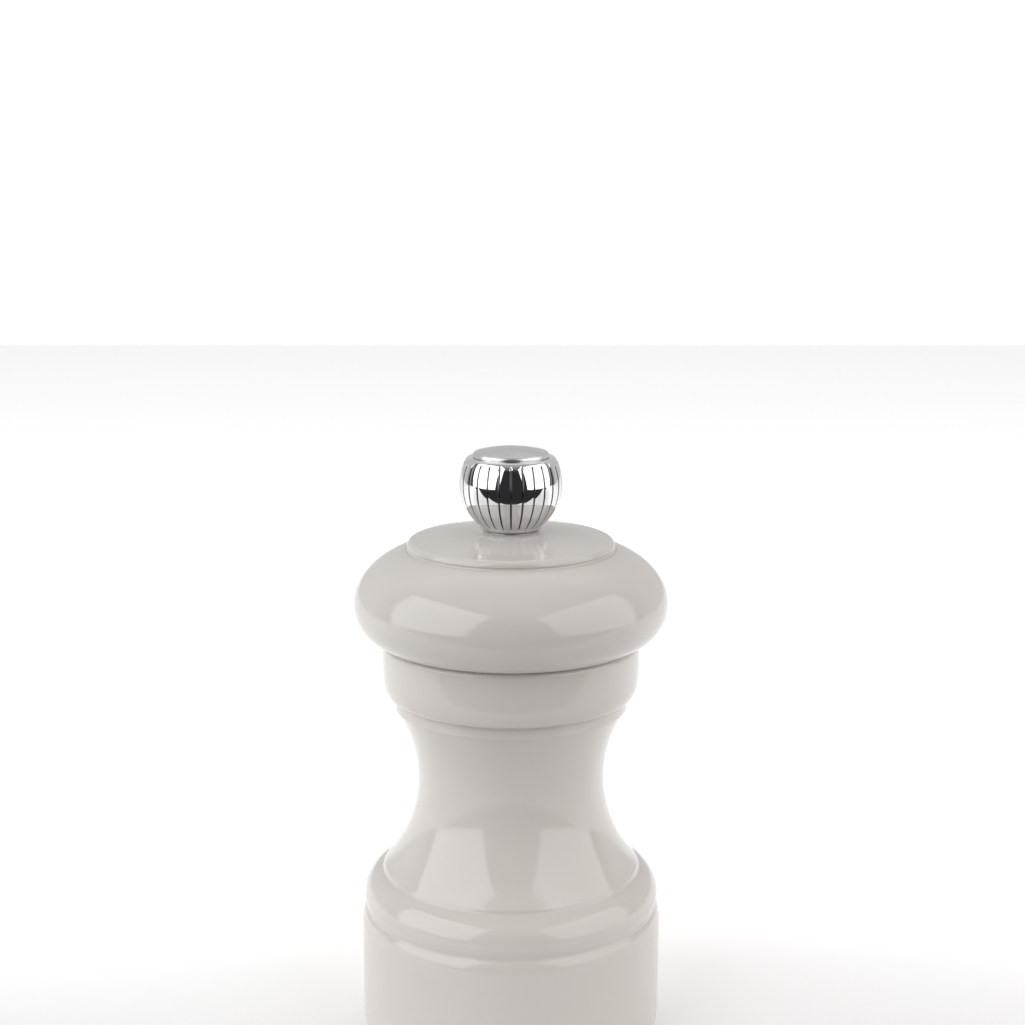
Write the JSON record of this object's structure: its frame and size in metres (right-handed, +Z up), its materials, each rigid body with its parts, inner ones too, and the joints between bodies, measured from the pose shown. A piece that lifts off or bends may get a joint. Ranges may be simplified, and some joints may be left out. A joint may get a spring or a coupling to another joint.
{
  "type": "pepper mill",
  "caption": "Small turned wooden pepper mill: the head turns a shaft with a steel rotor in the foot, and a fluted metal knob on top sets how fine it grinds.",
  "frame": {"origin": "centre of the foot's ring, in the plane it stands on", "axes": "+Z up along the turning axis, +X along the bar across the foot"},
  "size_m": [0.0522, 0.0522, 0.1],
  "materials": {
    "lacquered_wood": "opaque semi-gloss lacquer, warm light grey",
    "chrome_knob": "polished chrome plate on cast zinc",
    "satin_cap": "satin, fine circular brushing",
    "brass_insert": "machined",
    "plated_steel": "zinc-plated sheet",
    "zinc_screws": "bright zinc plate",
    "hardened_steel": "case-hardened, grey",
    "shaft_steel": "drawn bar, bright",
    "spring_steel": "drawn wire",
    "acetal": "moulded, natural white"
  },
  "bodies": {
    "body": {"mill_body": "lacquered_wood", "stator_ring": "hardened_steel", "stator_plate": "plated_steel", "plate_screws": "zinc_screws", "shaft_bridge": "plated_steel", "bridge_bush": "acetal", "retaining_bar": "plated_steel", "bar_screws": "zinc_screws"},
    "thrust_washer": {"spring_washer": "plated_steel", "pressure_spring": "spring_steel"},
    "shaft": {"drive_shaft": "shaft_steel", "rotor": "hardened_steel", "rotor_washer": "plated_steel", "shaft_nut": "zinc_screws", "spring_cup": "plated_steel"},
    "head": {"mill_head": "lacquered_wood", "head_ferrule": "plated_steel", "head_drive_plate": "plated_steel", "head_plate_screws": "zinc_screws"},
    "knob": {"adjusting_knob": "chrome_knob", "knob_insert": "brass_insert", "knob_cap": "satin_cap"}
  },
  "joints": [
    {"name": "head_turn", "type": "hinge", "parent": "body", "child": "thrust_washer", "pos_m": [0, 0, 0.0234], "axis": [0, 0, 1], "continuous": true},
    {"name": "grind_adjust", "type": "slide", "parent": "thrust_washer", "child": "shaft", "axis": [0, 0, 1], "range_m": [0, 0.0012], "deforming": ["pressure_spring"]},
    {"name": "head_lift", "type": "slide", "parent": "thrust_washer", "child": "head", "axis": [0, 0, 1], "range_m": [0, 0.04]},
    {"name": "knob_turn", "type": "hinge", "parent": "head", "child": "knob", "pos_m": [0, 0, 0.09], "axis": [0, 0, -1], "range_deg": [0, 540]}
  ],
  "couplings": [
    {"joint": "knob_turn", "follows": "grind_adjust", "rad_per_m": 7854}
  ]
}
